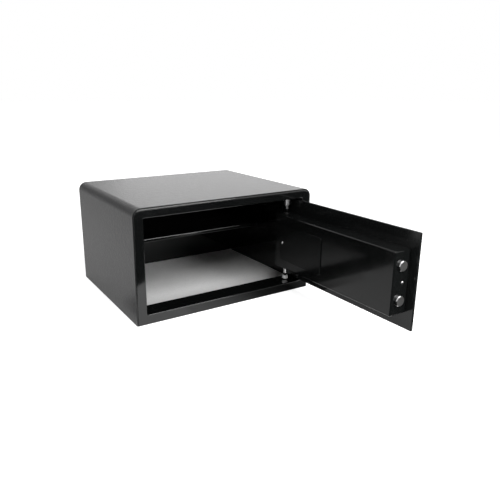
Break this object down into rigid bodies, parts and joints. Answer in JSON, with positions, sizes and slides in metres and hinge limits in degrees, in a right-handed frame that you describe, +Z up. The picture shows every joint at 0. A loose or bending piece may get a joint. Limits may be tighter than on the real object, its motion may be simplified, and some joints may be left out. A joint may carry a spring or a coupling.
{
  "type": "safe",
  "caption": "Front-opening steel safe for a cabinet or floor, with a hinged door, motor-driven round bolts, keypad, key override, shelf and lined floor.",
  "frame": {"origin": "middle of the cabinet's underside", "axes": "+Z up, the cabinet's front faces -Y, and the door is hinged at +X and stands open along -Y"},
  "size_m": [0.45, 0.7081, 0.25],
  "materials": {
    "textured_black": "fine orange-peel powder coat, semi-gloss",
    "gloss_black": "smooth gloss black powder coat",
    "cover_black": "smooth black coat, slightly duller",
    "felt_gray": "light gray needle felt",
    "chrome": "bright plated",
    "zinc_steel": "zinc-plated sheet and bar",
    "black_plastic": "fine-grained moulded plastic",
    "key_plastic": "satin moulded plastic",
    "lens_smoke": "smoked window, polished",
    "board_green": "solder-masked board",
    "cell_wrap": "plain shrink sleeve",
    "nylon": "moulded nylon"
  },
  "bodies": {
    "cabinet": {"body_shell": "textured_black", "base_panel": "textured_black", "back_panel": "textured_black", "front_frame": "gloss_black", "strike_jamb": "gloss_black", "floor_mat": "felt_gray", "shelf": "gloss_black", "shelf_rail_left": "gloss_black", "shelf_rail_right": "gloss_black", "upper_hinge_bush": "chrome", "lower_hinge_bush": "chrome", "base_anchor_plug_left": "nylon", "base_anchor_plug_right": "nylon", "back_anchor_plug_left": "nylon", "back_anchor_plug_right": "nylon"},
    "door": {"door_plate": "gloss_black", "hinge_bracket": "zinc_steel", "upper_hinge_pin": "chrome", "lower_hinge_pin": "chrome", "upper_pin_washer": "chrome", "lower_pin_washer": "chrome", "lock_box": "gloss_black", "box_end_screw": "chrome", "battery_cover": "cover_black", "battery_cover_screw": "chrome", "battery_tray": "black_plastic", "battery_1": "cell_wrap", "battery_2": "cell_wrap", "battery_3": "cell_wrap", "battery_4": "cell_wrap", "circuit_board": "board_green", "lock_chassis": "zinc_steel", "gearbox": "black_plastic", "motor": "zinc_steel", "key_barrel": "chrome", "barrel_nut": "zinc_steel", "keypad_housing": "black_plastic", "keypad_board": "board_green", "display_lens": "lens_smoke"},
    "bolt_carriage": {"bolt_bar": "zinc_steel", "upper_bolt": "chrome", "lower_bolt": "chrome"},
    "pinion": {"drive_pinion": "zinc_steel"},
    "key_lock": {"key_plug": "chrome", "key_cam": "zinc_steel"},
    "key_1": {"key_1": "key_plastic"},
    "key_2": {"key_2": "key_plastic"},
    "key_3": {"key_3": "key_plastic"},
    "key_4": {"key_4": "key_plastic"},
    "key_5": {"key_5": "key_plastic"},
    "key_6": {"key_6": "key_plastic"},
    "key_7": {"key_7": "key_plastic"},
    "key_8": {"key_8": "key_plastic"},
    "key_9": {"key_9": "key_plastic"},
    "key_10": {"key_10": "key_plastic"},
    "key_11": {"key_11": "key_plastic"},
    "key_12": {"key_12": "key_plastic"}
  },
  "joints": [
    {"name": "door_hinge", "type": "hinge", "parent": "cabinet", "child": "door", "pos_m": [0.178, -0.1525, 0.1245], "axis": [0, 0, 1], "range_deg": [-90, 0]},
    {"name": "bolt_slide", "type": "slide", "parent": "door", "child": "bolt_carriage", "axis": [0, 1, 0], "range_m": [-0.026, 0]},
    {"name": "pinion_spin", "type": "hinge", "parent": "door", "child": "pinion", "pos_m": [0.172, -0.4162, 0.13012], "axis": [1, 0, 0], "range_deg": [-133, 0]},
    {"name": "key_turn", "type": "hinge", "parent": "door", "child": "key_lock", "pos_m": [0.2, -0.4102, 0.092], "axis": [1, 0, 0], "range_deg": [0, 90]},
    {"name": "key_1_press", "type": "slide", "parent": "door", "child": "key_1", "axis": [-1, 0, 0], "range_m": [0, 0.0015], "stiffness_N_per_m": 500},
    {"name": "key_2_press", "type": "slide", "parent": "door", "child": "key_2", "axis": [-1, 0, 0], "range_m": [0, 0.0015], "stiffness_N_per_m": 500},
    {"name": "key_3_press", "type": "slide", "parent": "door", "child": "key_3", "axis": [-1, 0, 0], "range_m": [0, 0.0015], "stiffness_N_per_m": 500},
    {"name": "key_4_press", "type": "slide", "parent": "door", "child": "key_4", "axis": [-1, 0, 0], "range_m": [0, 0.0015], "stiffness_N_per_m": 500},
    {"name": "key_5_press", "type": "slide", "parent": "door", "child": "key_5", "axis": [-1, 0, 0], "range_m": [0, 0.0015], "stiffness_N_per_m": 500},
    {"name": "key_6_press", "type": "slide", "parent": "door", "child": "key_6", "axis": [-1, 0, 0], "range_m": [0, 0.0015], "stiffness_N_per_m": 500},
    {"name": "key_7_press", "type": "slide", "parent": "door", "child": "key_7", "axis": [-1, 0, 0], "range_m": [0, 0.0015], "stiffness_N_per_m": 500},
    {"name": "key_8_press", "type": "slide", "parent": "door", "child": "key_8", "axis": [-1, 0, 0], "range_m": [0, 0.0015], "stiffness_N_per_m": 500},
    {"name": "key_9_press", "type": "slide", "parent": "door", "child": "key_9", "axis": [-1, 0, 0], "range_m": [0, 0.0015], "stiffness_N_per_m": 500},
    {"name": "key_10_press", "type": "slide", "parent": "door", "child": "key_10", "axis": [-1, 0, 0], "range_m": [0, 0.0015], "stiffness_N_per_m": 500},
    {"name": "key_11_press", "type": "slide", "parent": "door", "child": "key_11", "axis": [-1, 0, 0], "range_m": [0, 0.0015], "stiffness_N_per_m": 500},
    {"name": "key_12_press", "type": "slide", "parent": "door", "child": "key_12", "axis": [-1, 0, 0], "range_m": [0, 0.0015], "stiffness_N_per_m": 500}
  ],
  "couplings": [
    {"joint": "pinion_spin", "follows": "bolt_slide", "rad_per_m": 88.889}
  ]
}
